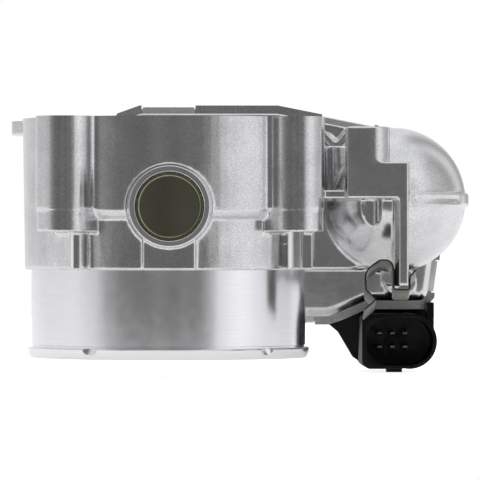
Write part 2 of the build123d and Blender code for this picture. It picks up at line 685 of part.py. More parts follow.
def motor_end_cap():
    """Moulded end cap with brush holders and the two ears that hold the motor in the housing."""
    cap = rod(MOTOR_X, MOTOR_Z, MOTOR_R - 1.3, 46.8, 49.0)
    cap += rod(MOTOR_X, MOTOR_Z, MOTOR_R, MOTOR_BACK_Y + 0.1, FLOOR_TOP_Y + 0.2)
    plate = Pos(MOTOR_X, MOTOR_Z) * Circle(18.6)
    for a in EAR_DEGS:
        ear = Pos(*polar(MOTOR_X, MOTOR_Z, EAR_R, a)) * Circle(4.2)
        plate += make_hull((Pos(MOTOR_X, MOTOR_Z) * Circle(10)).edges() + ear.edges())
    cap += along_y(plate, FLOOR_TOP_Y + 0.1, FLOOR_TOP_Y + 1.8)
    for side in (-1, 1):
        x = MOTOR_X + 8.4 * side
        cap += block((x - 3.2, x + 3.2), (39.5, 47), (MOTOR_Z - 3.6, MOTOR_Z + 3.6))
        cap -= block((x - 4, x + 4), (40.4, 45.1), (MOTOR_Z - 2.3, MOTOR_Z + 2.3))
    for shift in TERMINAL_SHIFTS:
        x = MOTOR_X + shift
        cap -= block((x - 0.5, x + 0.5), (45, 56), (MOTOR_Z - 13.2, MOTOR_Z - 8.8))
    cap -= rod(MOTOR_X, MOTOR_Z, 4.5, 45, 60)
    for a in EAR_DEGS:
        cap -= rod(*polar(MOTOR_X, MOTOR_Z, EAR_R, a), 1.8, 50, 60)
    return cap


def motor_bushes():
    """Sintered bushes at both ends of the armature shaft."""
    levels = ((MOTOR_FRONT_Y - 3.6, MOTOR_FRONT_Y + 1.1), (49.0, 54.0))
    bushes = [ring(MOTOR_X, MOTOR_Z, 4.4 - FIT, 2.0 + FIT, *y) for y in levels]
    return Compound(children=bushes)


def motor_screws():
    """Two screws through the end cap's ears."""
    screws = []
    for a in EAR_DEGS:
        x, z = polar(MOTOR_X, MOTOR_Z, EAR_R, a)
        screw = rod(x, z, 1.55, 44, FLOOR_TOP_Y + 1.8) + rod(x, z, 3.0, FLOOR_TOP_Y + 1.8, FLOOR_TOP_Y + 4)
        screw -= along_y(Pos(x, z) * RegularPolygon(1.5, 6), FLOOR_TOP_Y + 2.6, FLOOR_TOP_Y + 5)
        screws.append(screw)
    return Compound(children=screws)


def motor_terminals():
    """Two blades from the brushes up to the contacts in the cover."""
    blades = []
    for shift in TERMINAL_SHIFTS:
        x = MOTOR_X + shift
        blades.append(block((x - 0.35, x + 0.35), (49.5, 63), (MOTOR_Z - 13.0, MOTOR_Z - 9.0)))
    return Compound(children=blades)


def motor_wave_spring():
    """Wave washer that presses the motor against the end of its bore."""
    return ring(MOTOR_X, MOTOR_Z, 18.5, 9.0, MOTOR_FRONT_Y - 0.7, MOTOR_FRONT_Y - 0.1)


def motor_pinion():
    """Steel pinion on the armature shaft."""
    tooth = FINE_MESH_DEG + 180 + 180 / PINION_TEETH
    outline = gear_outline(MOTOR_X, MOTOR_Z, FINE_MODULE, PINION_TEETH, tooth)
    return along_y(outline, FINE_Y[0] - 0.5, FINE_Y[1] + 1) - rod(MOTOR_X, MOTOR_Z, 2.0 + FIT, 60, 80)


# ---- Cover
def connector_outline(inset):
    """Connector shell in X and Z: square on the barrel side and round on the motor side."""
    x0, x1 = SOCKET_X[0] + inset, SOCKET_X[1] - inset
    z0, z1 = SOCKET_Z[0] + inset, SOCKET_Z[1] - inset
    height = z1 - z0
    left = Pos((x0 + x1 - height / 2) / 2, (z0 + z1) / 2) * RectangleRounded(x1 - x0 - height / 2, height, 3.0)
    right = Pos(x1 - height / 2, (z0 + z1) / 2) * Circle(height / 2)
    return left + right


def socket_cavity():
    """The oval socket that the plug goes into."""
    height = SOCKET_Z[1] - SOCKET_Z[0] - 2 * SOCKET_WALL
    width = SOCKET_X[1] - SOCKET_X[0] - 2 * SOCKET_WALL
    middle = Pos((SOCKET_X[0] + SOCKET_X[1]) / 2, (SOCKET_Z[0] + SOCKET_Z[1]) / 2)
    return along_y(middle * SlotOverall(width, height), SOCKET_MOUTH_Y - 1, SOCKET_FLOOR_Y)


def connector():
    """Connector body with its gusset, latch nose and side fin."""
    body = along_y(connector_outline(0), SOCKET_MOUTH_Y, COVER_FLANGE_Y + 6)
    gusset = [(53, -62), (54.6, -68.0), (58.4, -71.2), (63.5, -79.8), (67, -82.2), (73, -82), (73, -62)]
    body += along_y(make_face(Polyline(*gusset, close=True)), COVER_FRONT_Y, COVER_FLANGE_Y + 6)
    bridge = block((69.7, 88.2), (COVER_FRONT_Y, COVER_FLANGE_Y + 6), (-68, -60))
    nose = block((73.6, 78.8), (37.0, 44.0), (SOCKET_Z[0] - 1.2, SOCKET_Z[0] + 0.5))
    fin = block((87.8, 90.0), (SOCKET_MOUTH_Y + 13, FLANGE_Y - 0.5), (-72.0, -60.9))
    return [body, bridge, nose, fin]


def cover_ribs():
    """Stiffening ribs on the back of the cover, which stop short of its edge."""
    levels = (COVER_BACK_Y - 1, COVER_BACK_Y + 1.2)
    thick, pitch = 1.8, 14.0
    bars = [Pos(-21.1 + pitch * k, SHAFT_Z) * Rectangle(thick, 60) for k in range(4)]
    bars.append(Pos(8, SHAFT_Z) * Rectangle(64, thick))
    inside = case_outline(COVER_INSET + 2)
    ribs = [along_y(bar & inside, *levels) for bar in bars]
    for x, z, radius in ((MOTOR_X, MOTOR_Z, 16), (IDLER_X, IDLER_Z, 6.5)):
        ribs.append(ring(x, z, radius, radius - thick, *levels))
    return ribs


def gear_cover():
    """Moulded cover of the gear case, with the connector in one piece with it."""
    cover = along_y(case_outline(0), COVER_FRONT_Y, COVER_FLANGE_Y)
    cover += along_y(case_outline(COVER_INSET), COVER_FLANGE_Y, COVER_BACK_Y)
    for piece in connector():
        cover += piece
    cover -= along_y(case_outline(COVER_INSET + COVER_WALL), COVER_FRONT_Y - 1, COVER_BACK_Y - 2)
    cover -= socket_cavity()
    for piece in cover_ribs():
        cover += piece
    cover += ring(IDLER_X, IDLER_Z, 4.6, 2.5 + FIT, 76.4, COVER_BACK_Y - 1)
    for cut in clip_notches(COVER_FRONT_Y - 1, COVER_FLANGE_Y + 0.01):
        cover -= cut
    for k in range(6):
        x, z = pin_place(k)
        width, thick = PIN_SIZE[0] + 0.1, PIN_SIZE[1] + 0.1
        cover -= along_y(Pos(x, z) * Rectangle(width, thick), SOCKET_FLOOR_Y - 1, COVER_BACK_Y - 2)
    return cover


def pin_place(k):
    """Centre of a connector pin, in two rows of three."""
    return PIN_X + PIN_PITCH_X * (k % 3 - 1), PIN_Z + PIN_PITCH_Z * (k // 3 - 0.5)


def connector_pins():
    """Six flat pins."""
    half_width, half_thick = PIN_SIZE[0] / 2, PIN_SIZE[1] / 2
    pins = []
    for k in range(6):
        x, z = pin_place(k)
        across, along = (x - half_width, x + half_width), (SOCKET_MOUTH_Y + 8, 72)
        pins.append(block(across, along, (z - half_thick, z + half_thick)))
    return Compound(children=pins)


def cover_gasket():
    """Flat seal between the gear case and the cover."""
    outline = case_outline(COVER_INSET) - case_outline(COVER_INSET + COVER_WALL + 0.4)
    return along_y(outline, JOINT_Y, COVER_FRONT_Y)


def cover_clip(clip):
    """One U-shaped spring clip that clamps the cover's flange to the housing's."""
    width = clip[3]
    gap = 0.05
    low, high = FLANGE_Y - gap, COVER_FLANGE_Y + gap
    top = -CLIP_NOTCH + gap
    bridge = Pos(0, top + CLIP_THICK / 2) * Rectangle(width, CLIP_THICK)
    front_leg = Pos(0, (top - 2.85) / 2) * Rectangle(width, top + 2.85)
    rear_leg = Pos(0, (top - 2.1) / 2) * Rectangle(width, top + 2.1)
    clip_solid = along_y(clip_frame(clip) * bridge, low - CLIP_THICK, high + CLIP_THICK)
    clip_solid += along_y(clip_frame(clip) * front_leg, low - CLIP_THICK, low)
    clip_solid += along_y(clip_frame(clip) * rear_leg, high, high + CLIP_THICK)
    return clip_solid - along_y(clip_frame(clip) * Rectangle(width * 0.24, 10), low + 0.6, high - 0.6)


def cover_clips():
    return Compound(children=[cover_clip(clip) for clip in CLIPS])


def sensor_board():
    """Circuit board over the shaft end, with the stem that reaches into the ring magnet."""
    board = block((-13, 11), (76.2, 77.6), (SHAFT_Z - 14, SHAFT_Z + 14))
    return board + rod(0, SHAFT_Z, 3.4, 70.0, 76.2)


def sensor_chip():
    """Position sensor chip at the end of the stem."""
    return block((-2.0, 2.0), (68.2, 69.9), (SHAFT_Z - 2.0, SHAFT_Z + 2.0))


def motor_contacts():
    """Spring contacts in the cover that grip the motor's blades."""
    contacts = []
    for shift in TERMINAL_SHIFTS:
        x = MOTOR_X + shift
        contact = block((x - 1.2, x + 1.2), (58, 77.9), (MOTOR_Z - 12.6, MOTOR_Z - 9.4))
        contacts.append(contact - block((x - 0.5, x + 0.5), (57, 66), (MOTOR_Z - 14, MOTOR_Z - 8)))
    return Compound(children=contacts)


# ---- Harness clip
CLIP_STRIP = 0.45
CLIP_STRIP_WIDTH = 9.6
CLIP_LEAN_DEG = 20.0


def harness_clip():
    """Spring strip bent into a loop, hooked round the end of the fin. It leans down to its back edge."""
    half = CLIP_STRIP / 2
    left, right, low = FIN_X[0] - half - 0.1, FIN_X[1] + half + 0.1, FIN_Z - half - 0.9
    bends = [(63.0, -62.2), (66.9, -58.8), (63.6, -55.8), (63.3, -49.6), (68.0, -46.1), (72.0, -46.2)]
    bends += [(left, -49.6), (left, low), (right, low), (right, -51.4), (79.7, -49.4)]
    radii = [0.6, 1.6, 4.2, 2.6, 2.6, 2.4, 0.9, 0.9, 0.9]
    strip = trace(FilletPolyline(*bends, radius=radii), CLIP_STRIP)
    lean = Vector(0, cos(radians(CLIP_LEAN_DEG)), -sin(radians(CLIP_LEAN_DEG)))
    plane = Plane((0, BRACKET_Y - 6.5, 0), x_dir=(1, 0, 0), z_dir=(0, -1, 0))
    return extrude(plane * strip, CLIP_STRIP_WIDTH, dir=lean)


# ---- Write every sub-part
def all_parts():
    front_outer, front_inner, front_balls = bearing(FRONT_BEARING_Y - BEARING_WIDTH)
    rear_outer, rear_inner, rear_balls = bearing(REAR_BEARING_Y)
    return {
        "throttle_housing": throttle_housing(),
        "end_plug": end_plug(),
        "throttle_shaft": throttle_shaft(),
        "throttle_plate": throttle_plate(),
        "plate_screws": plate_screws(),
        "front_bearing_outer_race": front_outer,
        "front_bearing_inner_race": front_inner,
        "front_bearing_balls": front_balls,
        "rear_bearing_outer_race": rear_outer,
        "rear_bearing_inner_race": rear_inner,
        "rear_bearing_balls": rear_balls,
        "front_shaft_seal": shaft_seal(FRONT_BEARING_Y + 0.05),
        "rear_shaft_seal": shaft_seal(REAR_BEARING_Y - 2.45),
        "sector_gear": sector_gear(),
        "sector_insert": sector_insert(),
        "sensor_magnet": sensor_magnet(),
        "return_spring": return_spring(),
        "spring_bush": spring_bush(),
        "closed_stop_screw": closed_stop_screw(),
        "idler_gear": idler_gear(),
        "idler_pin": idler_pin(),
        "motor_can": motor_can(),
        "motor_magnets": motor_magnets(),
        "motor_end_cap": motor_end_cap(),
        "motor_brushes": motor_brushes(),
        "motor_bushes": motor_bushes(),
        "motor_screws": motor_screws(),
        "motor_terminals": motor_terminals(),
        "motor_wave_spring": motor_wave_spring(),
        "armature_shaft": armature_shaft(),
        "armature_core": armature_core(),
        "armature_windings": armature_windings(),
        "commutator": commutator(),
        "motor_pinion": motor_pinion(),
        "gear_cover": gear_cover(),
        "cover_gasket": cover_gasket(),
        "cover_clips": cover_clips(),
        "connector_pins": connector_pins(),
        "sensor_board": sensor_board(),
        "sensor_chip": sensor_chip(),
        "motor_contacts": motor_contacts(),
        "harness_clip": harness_clip(),
    }


os.makedirs("parts", exist_ok=True)
for name, solid in all_parts().items():
    export_step(solid, f"parts/{name}.step")
print("idler centre", round(IDLER_X, 2), round(IDLER_Z, 2), "mesh", round(MESH_DEG, 2))
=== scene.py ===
import json
import math

import bmesh
import bpy
from mathutils import Matrix, Vector


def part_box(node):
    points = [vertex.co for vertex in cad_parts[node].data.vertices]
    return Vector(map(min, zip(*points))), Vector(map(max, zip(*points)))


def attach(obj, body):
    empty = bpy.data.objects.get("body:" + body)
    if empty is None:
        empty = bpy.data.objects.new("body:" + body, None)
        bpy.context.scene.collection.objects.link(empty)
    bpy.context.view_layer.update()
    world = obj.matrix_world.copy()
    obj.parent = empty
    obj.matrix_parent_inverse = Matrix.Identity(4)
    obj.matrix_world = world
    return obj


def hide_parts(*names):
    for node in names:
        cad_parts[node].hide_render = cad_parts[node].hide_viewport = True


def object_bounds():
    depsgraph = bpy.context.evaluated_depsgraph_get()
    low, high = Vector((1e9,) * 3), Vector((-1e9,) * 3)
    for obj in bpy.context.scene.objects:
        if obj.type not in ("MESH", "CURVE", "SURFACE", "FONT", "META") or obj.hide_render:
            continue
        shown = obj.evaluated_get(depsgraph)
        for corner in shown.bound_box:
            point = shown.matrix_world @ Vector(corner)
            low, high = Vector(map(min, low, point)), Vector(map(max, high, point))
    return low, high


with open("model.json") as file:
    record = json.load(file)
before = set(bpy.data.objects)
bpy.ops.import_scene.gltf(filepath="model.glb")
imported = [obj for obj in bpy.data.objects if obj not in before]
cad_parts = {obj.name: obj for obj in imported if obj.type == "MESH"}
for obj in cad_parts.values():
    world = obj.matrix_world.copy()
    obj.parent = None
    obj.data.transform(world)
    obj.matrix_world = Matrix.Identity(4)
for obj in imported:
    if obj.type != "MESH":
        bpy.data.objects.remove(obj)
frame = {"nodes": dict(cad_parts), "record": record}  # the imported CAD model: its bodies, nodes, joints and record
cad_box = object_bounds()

MM = 0.001  # one millimetre in metres

# ---- Sizes, in metres, from the frame
bore_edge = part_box("throttle_plate")[1].y
BORE_R = bore_edge + 0.15 * MM
seat_low, seat_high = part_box("front_bearing_outer_race")
SHAFT_Z = (seat_low.z + seat_high.z) / 2
SEAT_R = seat_high.x
SEAT_END_Y = seat_high.y
housing_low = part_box("throttle_housing")[0]
FRONT_Y = housing_low.y
END_Z = housing_low.z

# ---- Sizes of the machined faces, in metres
SPIGOT_R = 45.0 * MM
LIP_R = 46.3 * MM
LIP_HEIGHT = 3.4 * MM
SHOULDER_Z = -49.4 * MM
FLANGE_Y = 60.0 * MM
BOLTS = next(m for m in frame["record"]["mounts"] if m["name"] == "manifold_bolts")
BOLT_CIRCLE_R = BOLTS["dims"]["pcd_mm"] * MM / 2
BOLT_HOLE_R = BOLTS["dims"]["hole_r_mm"] * MM
BOLT_TURN = math.radians(-39.3)
BRACKET = next(m for m in frame["record"]["mounts"] if m["name"] == "bracket_hole")
FACE_ALLOWANCE = 1.5 * MM
FACE_BACK_Y = 46.0 * MM
FACE_LOW_X, FACE_HIGH_X, FACE_FRONT_Y = -60 * MM, 62 * MM, -60 * MM
SKIN_END_Y = FLANGE_Y - 0.7 * MM
FLANGE_COPY_Y = FLANGE_Y - 1.0 * MM
SEAT_FIT = 0.03 * MM
LIP_NOTCH_X = (-27.5 * MM, 34.0 * MM)
NOTCH_R, NOTCH_OUT, NOTCH_UP = 4.6 * MM, 3.45 * MM, 0.5 * MM
FAR = 0.2  # larger than the object, for tools that cut all of one side away

# ---- Mesh quality
VOXEL = 0.42 * MM
CAST_SMOOTH_STEPS = 12
CAST_FACES = 190_000
LATHE_STEPS = 256
FLAT_ANGLE = math.radians(0.4)  # faces that turn less than this are one flat face


# ---- Mesh helpers
def link(piece):
    """Puts a new object in the scene."""
    bpy.context.scene.collection.objects.link(piece)
    return piece


def mesh_piece(name, verts, faces, finish=None):
    """New object from vertices and faces, with outward normals."""
    mesh = bpy.data.meshes.new(name)
    mesh.from_pydata([tuple(v) for v in verts], [], faces)
    made = bmesh.new()
    made.from_mesh(mesh)
    bmesh.ops.remove_doubles(made, verts=made.verts, dist=1e-7)
    bmesh.ops.recalc_face_normals(made, faces=made.faces)
    made.to_mesh(mesh)
    made.free()
    if finish:
        mesh.materials.append(finish)
    return link(bpy.data.objects.new(name, mesh))


def copied(node, name):
    """Free copy of a CAD node's mesh with its split vertices joined."""
    piece = bpy.data.objects.new(name, frame["nodes"][node].data.copy())
    mesh = piece.data
    made = bmesh.new()
    made.from_mesh(mesh)
    bmesh.ops.remove_doubles(made, verts=made.verts, dist=2e-6)
    made.to_mesh(mesh)
    made.free()
    mesh.materials.clear()
    if "custom_normal" in mesh.attributes:
        mesh.attributes.remove(mesh.attributes["custom_normal"])
    return link(piece)


def merge_flats(made):
    """Joins the triangles of each flat face."""
    bmesh.ops.dissolve_limit(made, angle_limit=FLAT_ANGLE, verts=made.verts, edges=made.edges)


def bake(piece):
    """Applies a piece's modifiers."""
    graph = bpy.context.evaluated_depsgraph_get()
    made = bpy.data.meshes.new_from_object(piece.evaluated_get(graph))
    piece.modifiers.clear()
    spare = piece.data
    piece.data = made
    bpy.data.meshes.remove(spare)
    return piece


def modify(piece, kind, **settings):
    """Adds one modifier and applies it."""
    modifier = piece.modifiers.new(kind.lower(), kind)
    for name, value in settings.items():
        setattr(modifier, name, value)
    return bake(piece)


def combine(piece, tool, operation):
    """Cuts a tool out of a piece, or joins it on, and removes the tool. Cut faces take the tool's finish."""
    modify(piece, "BOOLEAN", object=tool, operation=operation, solver="MANIFOLD")
    bpy.data.objects.remove(tool)
    return piece


def lathe(name, profile, centre=(0, 0, 0), along="Z", finish=None, ring=False, steps=LATHE_STEPS):
    """Solid of revolution about Z or Y through a centre. A profile is points of (radius, level)."""
    verts, rings = [], []
    for radius, level in profile:
        first = len(verts)
        count = steps if radius > 0 else 1
        for k in range(count):
            turn = 2 * math.pi * k / steps
            x, side = radius * math.cos(turn), radius * math.sin(turn)
            place = (x, side, level) if along == "Z" else (x, level, side)
            verts.append(Vector(place) + Vector(centre))
        rings.append((first, count))
    faces = []
    pairs = list(zip(rings, rings[1:]))
    if ring:
        pairs.append((rings[-1], rings[0]))
    for (a, a_count), (b, b_count) in pairs:
        for k in range(steps):
            n = (k + 1) % steps
            corners = [a + k % a_count, a + n % a_count, b + n % b_count, b + k % b_count]
            faces.append([c for i, c in enumerate(corners) if c not in corners[:i]])
    return mesh_piece(name, verts, faces, finish)


def box_piece(name, low, high, finish=None):
    """Plain block, used only as a cutting tool."""
    xs, ys, zs = zip(low, high)
    verts = [(x, y, z) for x in xs for y in ys for z in zs]
    faces = [(0, 1, 3, 2), (4, 5, 7, 6), (0, 1, 5, 4), (2, 3, 7, 6), (0, 2, 6, 4), (1, 3, 7, 5)]
    return mesh_piece(name, verts, faces, finish)


def shade(piece, angle=35):
    """Smooth shading with sharp edges above an angle."""
    piece.data.shade_smooth()
    piece.data.set_sharp_from_angle(angle=math.radians(angle))
    return piece


# ---- Material helpers
RIPPLE = 0.4  # depth of the slow bumps, as a share of the grain's


def node(tree, kind, inputs=None, **settings):
    """Adds a shader node. An input takes a value or another node's output."""
    made = tree.nodes.new("ShaderNode" + kind)
    for name, value in settings.items():
        setattr(made, name, value)
    for name, value in (inputs or {}).items():
        socket = made.inputs[name]
        if isinstance(value, bpy.types.NodeSocket):
            tree.links.new(value, socket)
        else:
            socket.default_value = value
    return made


def noise(tree, size, detail=2.0, stretch=(1, 1, 1)):
    """Noise whose bumps are about one size across, in metres, on the piece's own coordinates."""
    place = node(tree, "TexCoord").outputs["Object"]
    scaled = node(tree, "Mapping", {"Vector": place, "Scale": stretch}).outputs["Vector"]
    made = node(tree, "TexNoise", {"Vector": scaled, "Scale": 1 / size, "Detail": detail})
    return made.outputs["Fac"]


def spread(tree, value, low, high, start=0.3, end=0.7):
    """Maps a noise value to a range."""
    inputs = {"Value": value, "From Min": start, "From Max": end, "To Min": low, "To Max": high}
    return node(tree, "MapRange", inputs).outputs["Result"]


def bump(tree, height, depth, under=None):
    """Bump of a given depth in metres, on top of another."""
    inputs = {"Height": height, "Distance": depth, "Strength": 1.0}
    if under:
        inputs["Normal"] = under
    return node(tree, "Bump", inputs).outputs["Normal"]


def material(name, color, metallic, roughness, grain, depth, patches=0.06, stretch=(1, 1, 1), **shader):
    """Finish with grain bump, patchy tone and patchy roughness. Grain and depth are metres.

    The patches are the share by which the tone varies.
    """
    made = bpy.data.materials.new(name)
    made.use_nodes = True
    made.diffuse_color = (*color, 1)
    tree = made.node_tree
    principled = tree.nodes["Principled BSDF"]
    coarse = noise(tree, 9 * MM, 3)
    fine = noise(tree, grain, 2, stretch)
    tone = spread(tree, coarse, 1 - patches / 2, 1 + patches / 2)
    speck = spread(tree, fine, 1 - patches, 1 + patches)
    total = node(tree, "Math", {0: tone, 1: speck}, operation="MULTIPLY").outputs["Value"]
    scaled = node(tree, "VectorMath", {0: color, "Scale": total}, operation="SCALE").outputs["Vector"]
    rough = spread(tree, noise(tree, 3.5 * MM, 3), roughness * 0.9, roughness * 1.1)
    tree.links.new(scaled, principled.inputs["Base Color"])
    tree.links.new(rough, principled.inputs["Roughness"])
    slow = bump(tree, noise(tree, 2.5 * MM, 2), depth * RIPPLE)
    tree.links.new(bump(tree, fine, depth, slow), principled.inputs["Normal"])
    principled.inputs["Metallic"].default_value = metallic
    for socket, value in shader.items():
        principled.inputs[socket.replace("_", " ")].default_value = value
    return made


# ---- Finishes of the record's material slots
def cast_aluminium():
    """Shot-blasted die casting."""
    return material("cast_aluminium", (0.73, 0.73, 0.735), 1.0, 0.19, 0.42 * MM, 0.014 * MM, 0.16)


def turned_aluminium():
    """Fine lathe marks round the bore axis."""
    rings = (0.02, 0.02, 1.0)
    across = {"Anisotropic": 0.6, "Anisotropic_Rotation": 0.25}
    color = (0.92, 0.92, 0.94)
    return material("turned_aluminium", color, 1.0, 0.21, 0.3 * MM, 0.0035 * MM, 0.02, rings, **across)


def bored_aluminium():
    """Face and bores cut in the casting, with a finer grain than the cast skin."""
    return material("bored_aluminium", (0.82, 0.82, 0.83), 1.0, 0.22, 0.25 * MM, 0.004 * MM, 0.04)


def black_plastic():
    """Moulded plastic with a low sheen."""
    color = (0.004, 0.004, 0.0038)
    return material("black_plastic", color, 0.0, 0.34, 0.35 * MM, 0.008 * MM, 0.2, Specular_IOR_Level=0.18)


FINISHES = {
    "cast_aluminium": cast_aluminium(),
    "plug_steel": material("plug_steel", (0.29, 0.285, 0.21), 1.0, 0.10, 0.5 * MM, 0.003 * MM, 0.08),
    "bearing_steel": material("bearing_steel", (0.60, 0.60, 0.60), 1.0, 0.12, 0.3 * MM, 0.002 * MM, 0.03),
    "spring_steel": material("spring_steel", (0.86, 0.85, 0.82), 1.0, 0.46, 0.35 * MM, 0.006 * MM, 0.08),
    "plated_steel": material("plated_steel", (0.66, 0.64, 0.58), 1.0, 0.24, 0.3 * MM, 0.004 * MM, 0.06),
    "core_steel": material("core_steel", (0.34, 0.34, 0.36), 1.0, 0.38, 0.4 * MM, 0.008 * MM, 0.1),
    "seal_rubber": material("seal_rubber", (0.018, 0.018, 0.019), 0.0, 0.62, 0.3 * MM, 0.010 * MM, 0.2),
    "natural_plastic": material("natural_plastic", (0.70, 0.65, 0.54), 0.0, 0.42, 0.5 * MM, 0.006 * MM, 0.05),
    "black_plastic": black_plastic(),
    "ferrite": material("ferrite", (0.075, 0.070, 0.066), 0.0, 0.66, 0.3 * MM, 0.016 * MM, 0.2),
    "carbon": material("carbon", (0.050, 0.048, 0.047), 0.2, 0.52, 0.25 * MM, 0.012 * MM, 0.2),
    "bronze": material("bronze", (0.50, 0.33, 0.17), 1.0, 0.36, 0.25 * MM, 0.008 * MM, 0.1),
    "brass": material("brass", (0.78, 0.60, 0.30), 1.0, 0.24, 0.3 * MM, 0.004 * MM, 0.06),
    "tinned_brass": material("tinned_brass", (0.16, 0.155, 0.14), 1.0, 0.35, 0.3 * MM, 0.003 * MM, 0.05),
    "copper": material("copper", (0.72, 0.36, 0.20), 1.0, 0.26, 0.3 * MM, 0.004 * MM, 0.08),
    "board_green": material("board_green", (0.012, 0.085, 0.035), 0.0, 0.30, 0.6 * MM, 0.004 * MM, 0.15),
    "chip_black": material("chip_black", (0.022, 0.022, 0.024), 0.0, 0.50, 0.2 * MM, 0.006 * MM, 0.15),
}
TURNED = turned_aluminium()
BORED = bored_aluminium()
# Near-black metal for the strip's front-facing faces: painted shade, standing in for the dark reflection of the
# front of the studio.
PAINTED_FRONT_SHADE = material("painted_front_shade", (0.03, 0.03, 0.028), 1.0, 0.5, 0.3 * MM, 0.008 * MM, 0.2)
PHOSPHATED = material("phosphated_strip", (0.17, 0.165, 0.14), 1.0, 0.34, 0.3 * MM, 0.010 * MM, 0.15)


# ---- Housing: the cast skin, then what is machined in it
def leave_allowance(piece):
    """Leaves stock on the flange face and the bore, for the machining to cut back to size."""
    near = 0.03 * MM
    for vert in piece.data.vertices:
        x, y, z = vert.co
        radius = math.hypot(x, y)
        if abs(z) < near and y < FACE_BACK_Y:
            vert.co.z = FACE_ALLOWANCE
        if abs(radius - BORE_R) < near:
            inner = (BORE_R - FACE_ALLOWANCE) / radius
            vert.co.x *= inner
            vert.co.y *= inner
        if z < END_Z + near:
            vert.co.z -= FACE_ALLOWANCE


def bolt_places():
    """Centres of the four manifold bolts."""
    turns = [BOLT_TURN + math.pi / 2 * k for k in range(4)]
    return [(BOLT_CIRCLE_R * math.cos(t), BOLT_CIRCLE_R * math.sin(t)) for t in turns]


def drill(name, radius, chamfer, x, y, low, high):
    """Tool for a hole along Z with a chamfer at its upper end."""
    rim, over = radius + chamfer, high + 4 * MM
    profile = [(0, low), (radius, low), (radius, high - chamfer), (rim, high), (rim, over), (0, over)]
    return lathe(name, profile, (x, y, 0), "Z", BORED, steps=64)


def machining_tools():
    """Cutting tools for the flange face, the bore, the bearing seat and the bolt holes."""
    top = FACE_ALLOWANCE + 2 * MM
    face_low, face_high = (FACE_LOW_X, FACE_FRONT_Y, 0), (FACE_HIGH_X, FACE_BACK_Y + 2 * MM, top)
    tools = [box_piece("face_tool", face_low, face_high, BORED)]
    chamfer = 0.5 * MM
    inside, outside, below = BORE_R - 1 * MM, SPIGOT_R + 4.5 * MM, END_Z - 3 * MM
    spigot_zone = [(inside, SHOULDER_Z), (outside, SHOULDER_Z), (outside, below), (inside, below)]
    tools.append(lathe("spigot_tool", spigot_zone, finish=TURNED, ring=True))
    bore = [(0, END_Z - 4 * MM), (BORE_R, END_Z - 4 * MM), (BORE_R, -chamfer)]
    bore += [(BORE_R + chamfer, 0), (BORE_R + chamfer, top + MM), (0, top + MM)]
    tools.append(lathe("bore_tool", bore, finish=TURNED))
    wide, seat_r, ahead = SEAT_R + 0.6 * MM, SEAT_R + SEAT_FIT, FRONT_Y - 3 * MM
    seat = [(0, ahead), (wide, ahead), (wide, FRONT_Y - 0.3 * MM)]
    seat += [(seat_r, FRONT_Y + 0.7 * MM), (seat_r, SEAT_END_Y), (0, SEAT_END_Y)]
    tools.append(lathe("seat_tool", seat, (0, 0, SHAFT_Z), "Y", BORED))
    bolt_chamfer, bolt_end = 0.6 * MM, -55 * MM
    for k, (x, y) in enumerate(bolt_places()):
        tools.append(drill(f"bolt_tool_{k}", BOLT_HOLE_R, bolt_chamfer, x, y, bolt_end, 0))
    x, y, z = BRACKET["pos_m"]
    bracket_r = BRACKET["dims"]["r_mm"] * MM
    half = BRACKET["dims"]["length_mm"] * MM / 2
    tools.append(drill("bracket_tool", bracket_r, chamfer, x, y, z - half - MM, z + half))
    return tools


def bearing_boss_ring():
    """Machined end of the front bearing boss, with a rounded rim."""
    outer, corner = 13.0 * MM, 0.5 * MM
    seat_r, chamfer = SEAT_R + SEAT_FIT, 0.25 * MM
    profile = [(seat_r, FRONT_Y + 4 * MM), (seat_r, FRONT_Y + chamfer), (seat_r + chamfer, FRONT_Y)]
    steps = 6
    for k in range(steps + 1):
        turn = math.pi / 2 * k / steps
        radius = outer - corner * (1 - math.sin(turn))
        profile.append((radius, FRONT_Y + corner * (1 - math.cos(turn))))
    profile.append((outer + 0.55 * MM, FRONT_Y + 3 * MM))
    profile.append((outer + 0.6 * MM, FRONT_Y + 4 * MM))
    return lathe("bearing_boss_ring", profile, (0, 0, SHAFT_Z), "Y", BORED, ring=True)


def ball(name, radius, centre, finish):
    """Cutting tool with a round nose."""
    steps = 24
    turns = [math.pi * k / steps - math.pi / 2 for k in range(steps + 1)]
    profile = [(radius * math.cos(t), radius * math.sin(t)) for t in turns[1:-1]]
    return lathe(name, [(0, -radius), *profile, (0, radius)], centre, "Z", finish, steps=48)


def spigot():
    """Machined hose spigot with its groove and lip."""
    lip_top = END_Z + LIP_HEIGHT
    edge = groove = 0.35 * MM
    profile = [
        (BORE_R, SHOULDER_Z + 2 * MM),
        (SPIGOT_R, SHOULDER_Z + 2 * MM),
        (SPIGOT_R, lip_top + 3.6 * MM),
        (SPIGOT_R, lip_top + 0.9 * MM),
        (SPIGOT_R - groove, lip_top + 0.7 * MM),
        (SPIGOT_R - groove, lip_top + 0.3 * MM),
        (LIP_R - edge, lip_top),
        (LIP_R, lip_top - edge),
        (LIP_R - 0.15 * MM, END_Z + 2.0 * MM),
        (LIP_R - 0.85 * MM, END_Z + 0.4 * MM),
        (LIP_R - 1.3 * MM, END_Z),
        (BORE_R + 0.6 * MM, END_Z),
        (BORE_R, END_Z + 0.6 * MM),
    ]
    piece = lathe("spigot", profile, finish=TURNED, ring=True)
    for x in LIP_NOTCH_X:
        y = -math.sqrt((LIP_R + NOTCH_OUT) ** 2 - x * x)
        combine(piece, ball("notch_tool", NOTCH_R, (x, y, lip_top + NOTCH_UP), TURNED), "DIFFERENCE")
    return piece


def cover_flange():
    """The cover flange and what stands behind it, in the drawing's own shape."""
    piece = copied("throttle_housing", "cover_flange")
    piece.data.materials.append(FINISHES["cast_aluminium"])
    tool = box_piece("front_tool", (-FAR, -FAR, -FAR), (FAR, FLANGE_COPY_Y, FAR))
    return combine(piece, tool, "DIFFERENCE")


